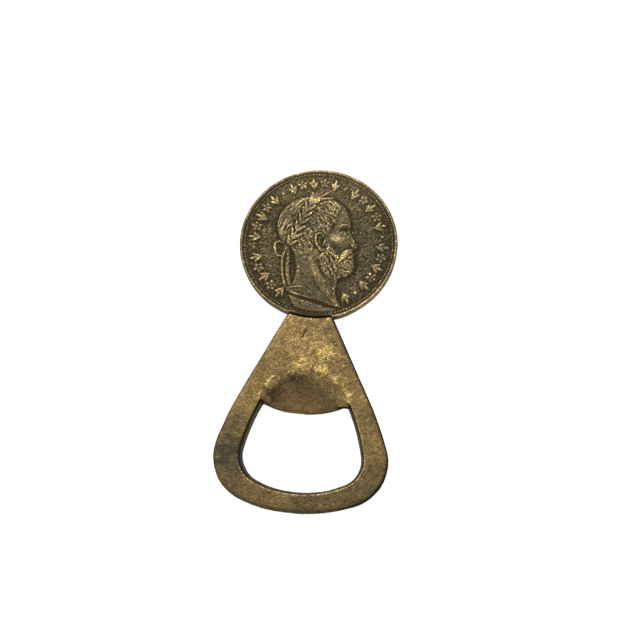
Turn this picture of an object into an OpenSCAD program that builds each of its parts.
// Cast brass bottle opener: a neck that widens into a loop, with a scooped
// prying lip, and a coin medallion brazed on the end of the neck.
// It lies on its flat back, face up, with the medallion towards +Y.

/* [Medallion] */
// Diameter of the medallion
coin_d = 40; // [34:0.5:44]
// Thickness of the medallion at its rim
coin_t = 2.3; // [1.8:0.1:3]
// How far the medallion's rim stands above the face of the neck
coin_proud = 0.1; // [0:0.05:0.5]
// Width of the flat rim
rim_w = 0.8; // [0.5:0.1:1.5]
// Depth of the field below the rim
field_depth = 0.35; // [0.2:0.05:0.6]
// Width of the raised ring inside the rim
ring_w = 0.6; // [0.4:0.1:1]

/* [Frame] */
// Thickness of the casting
frame_t = 6; // [5:0.25:8]
// Width of the neck where it meets the medallion
neck_w = 13.6; // [12:0.2:16]
// Lean of each side of the neck from the middle line
neck_lean = 25.6; // [24:0.2:27]
// Length of each straight side of the neck
neck_len = 21; // [18:0.5:24]
// Radius of the slightly bowed stretch below the straight side
flank_r = 84; // [60:1:120]
// Angle that the bowed stretch turns through
flank_turn = 8.7; // [6:0.1:11]
// Radius of the loop's outer corners
corner_r = 11.25; // [9:0.25:14]
// Angle that each outer corner turns through
corner_turn = 84.7; // [78:0.1:90]

/* [Opening] */
// Distance from the medallion to the upper corners of the opening
opening_drop = 21.4; // [20:0.2:24]
// Width of the opening between its upper corners
opening_w = 21.2; // [20:0.2:23]
// Lean of the opening's sides at its upper corners
opening_lean = 26.8; // [24:0.2:29]
// Radius of the opening's long sides
side_r = 43.2; // [36:0.2:60]
// Angle that each long side turns through
side_turn = 16.1; // [12:0.1:20]
// Radius of the opening's lower corners
inner_r = 6.3; // [5:0.1:8]
// Angle that each lower corner turns through
inner_turn = 75.3; // [68:0.1:80]

/* [Prying lip] */
// How far the lip bows into the opening
lip_bow = 1.9; // [1:0.1:3]
// Width of the scoop above the lip, on the face
scoop_w = 23.1; // [22:0.1:25]
// Distance from the medallion to the middle of the scoop
scoop_drop = 25.4; // [24:0.2:27]
// Depth of the scoop at its middle
scoop_depth = 5.05; // [3:0.05:5.2]

/* [Joint] */
// Distance from the neck's end to the middle of the tab's round end
tab_reach = 6; // [4:0.25:8]
// Thickness of the film of braze between the tab and the medallion
braze_t = 0.15; // [0.1:0.05:0.3]
// Leg of the braze fillet along the tab, under the medallion
fillet_leg = 0.9; // [0.5:0.1:1.5]
// Depth of the groove that the braze leaves open at the face
groove_depth = 0.7; // [0.4:0.1:1.5]

/* [Hidden] */

round_fn = 120;
cut = 1;
coin_r = coin_d / 2;
coin_z = frame_t + coin_proud - coin_t;
tab_t = coin_z - braze_t;
seat_r = coin_r + braze_t;

// The outlines are worked out with the end of the neck at y = 0, and then
// moved so that the middle of the whole length is at the origin.
function heading(a) = [cos(a), sin(a)];
// Centre of an arc that starts at p, going in direction a and turning right
function arc_centre(p, a, r) = p + r * heading(a - 90);
// Where an arc about c is when its direction has become a
function arc_end(c, a, r) = c - r * heading(a - 90);

neck_dir = neck_lean - 90;
out_0 = [neck_w / 2, 0];
out_1 = out_0 + neck_len * heading(neck_dir);
out_c1 = arc_centre(out_1, neck_dir, flank_r);
out_dir2 = neck_dir - flank_turn;
out_2 = arc_end(out_c1, out_dir2, flank_r);
out_c2 = arc_centre(out_2, out_dir2, corner_r);
out_dir3 = out_dir2 - corner_turn;
out_3 = arc_end(out_c2, out_dir3, corner_r);
out_r3 = out_3[0] / sin(180 + out_dir3);
out_c3 = arc_centre(out_3, out_dir3, out_r3);
out_4 = arc_end(out_c3, -180, out_r3);

side_dir = opening_lean - 90;
in_0 = [opening_w / 2, -opening_drop];
in_c1 = arc_centre(in_0, side_dir, side_r);
in_dir1 = side_dir - side_turn;
in_1 = arc_end(in_c1, in_dir1, side_r);
in_c2 = arc_centre(in_1, in_dir1, inner_r);
in_dir2 = in_dir1 - inner_turn;
in_2 = arc_end(in_c2, in_dir2, inner_r);
in_r3 = in_2[0] / sin(180 + in_dir2);
in_c3 = arc_centre(in_2, in_dir2, in_r3);
in_3 = arc_end(in_c3, -180, in_r3);

lip_r = (pow(in_0[0], 2) + pow(lip_bow, 2)) / (2 * lip_bow);
scoop_a = scoop_w / 2;
scoop_r = (pow(scoop_a, 2) + pow(scoop_depth, 2)) / (2 * scoop_depth);
tab_r = (neck_w / 2 / tan(neck_lean) - tab_reach) * sin(neck_lean);
tab_touch = [tab_r * cos(neck_lean), tab_reach + tab_r * sin(neck_lean)];
middle_y = (coin_d + out_4[1]) / 2;

// The sliver between the chord p-q and its arc of radius r about c
module bulge(p, q, c, r) {
    chord = (q - p) / norm(q - p);
    away = [-chord[1], chord[0]];
    intersection() {
        translate(c) circle(r = r, $fn = round_fn);
        polygon([p, q, q + r * away, p + r * away]);
    }
}

module both_halves() {
    children();
    mirror([1, 0]) children();
}

module outer_outline() {
    both_halves() {
        polygon([[0, 0], out_0, out_1, out_2, out_3, out_4]);
        bulge(out_1, out_2, out_c1, flank_r);
        bulge(out_2, out_3, out_c2, corner_r);
        bulge(out_3, out_4, out_c3, out_r3);
    }
}

module opening_outline() {
    difference() {
        both_halves() {
            polygon([[0, -opening_drop], in_0, in_1, in_2, in_3]);
            bulge(in_0, in_1, in_c1, side_r);
            bulge(in_1, in_2, in_c2, inner_r);
            bulge(in_2, in_3, in_c3, in_r3);
        }
        translate([0, lip_r - opening_drop - lip_bow]) circle(r = lip_r, $fn = round_fn);
    }
}

// The neck's taper carried on under the medallion, with a round end
module tab_outline() {
    polygon([out_0, tab_touch, [-tab_touch[0], tab_touch[1]], -out_0]);
    translate([0, tab_reach]) circle(r = tab_r, $fn = round_fn);
}

module opener_frame() {
    color("#8a713f")
    translate([0, -middle_y, 0])
    difference() {
        union() {
            linear_extrude(frame_t) outer_outline();
            linear_extrude(frame_t) tab_outline();
        }
        translate([0, 0, -cut])
            linear_extrude(frame_t + 2 * cut) opening_outline();
        translate([0, coin_r, tab_t])
            cylinder(r = seat_r, h = frame_t, $fn = round_fn);
        translate([0, -scoop_drop, frame_t + scoop_r - scoop_depth])
            sphere(r = scoop_r, $fn = round_fn);
    }
}

module coin_medallion() {
    top = frame_t + coin_proud;
    field_z = top - field_depth;
    relief = field_depth * 0.7;
    ring_r = coin_r - rim_w;
    color("#7d6a3c")
    translate([0, coin_r - middle_y, 0]) {
        translate([0, 0, coin_z])
            cylinder(r = coin_r, h = field_z - coin_z, $fn = round_fn);
        translate([0, 0, field_z]) {
            ring(coin_r, ring_r, field_depth);
            ring(ring_r, ring_r - ring_w, relief);
            bust(relief);
        }
    }
}

module ring(outer, inner, height) {
    linear_extrude(height)
    difference() {
        circle(r = outer, $fn = round_fn);
        circle(r = inner, $fn = round_fn);
    }
}

// A plain raised head and neck, facing +X, with no features
module bust(height) {
    head_r = coin_r * 0.31;
    linear_extrude(height) {
        translate([0, coin_r * 0.2]) circle(r = head_r, $fn = round_fn);
        translate([coin_r * 0.08, -coin_r * 0.04]) circle(r = head_r * 0.8, $fn = round_fn);
        translate([-head_r * 0.75, -coin_r * 0.62]) square([head_r * 1.4, coin_r * 0.7]);
    }
}

module braze_joint() {
    color("#5c5136")
    translate([0, -middle_y, 0]) {
        difference() {
            translate([0, 0, tab_t])
                linear_extrude(frame_t - groove_depth - tab_t) seat_outline();
            translate([0, coin_r, coin_z])
                cylinder(r = coin_r, h = frame_t, $fn = round_fn);
        }
        difference() {
            tab_fillet();
            linear_extrude(coin_z) tab_outline();
        }
    }
}

// The part of the seat that the neck and the tab cover
module seat_outline() {
    intersection() {
        union() {
            outer_outline();
            tab_outline();
        }
        translate([0, coin_r]) circle(r = seat_r, $fn = round_fn);
    }
}

// A three-sided bead in the corner between the tab and the medallion
module tab_fillet() {
    side_len = norm(tab_touch - out_0) - 2 * fillet_leg;
    section = [[-cut, 0], [fillet_leg, 0], [0, -fillet_leg], [-cut, -fillet_leg]];
    translate([0, 0, coin_z]) {
        translate([0, tab_reach, 0])
            rotate_extrude($fn = round_fn)
                translate([tab_r, 0]) polygon(section);
        for (side = [0, 1])
            mirror([side, 0, 0])
                translate([tab_touch[0], tab_touch[1], 0])
                    rotate([90, 0, neck_lean])
                        linear_extrude(side_len) polygon(section);
    }
}

opener_frame();
coin_medallion();
braze_joint();
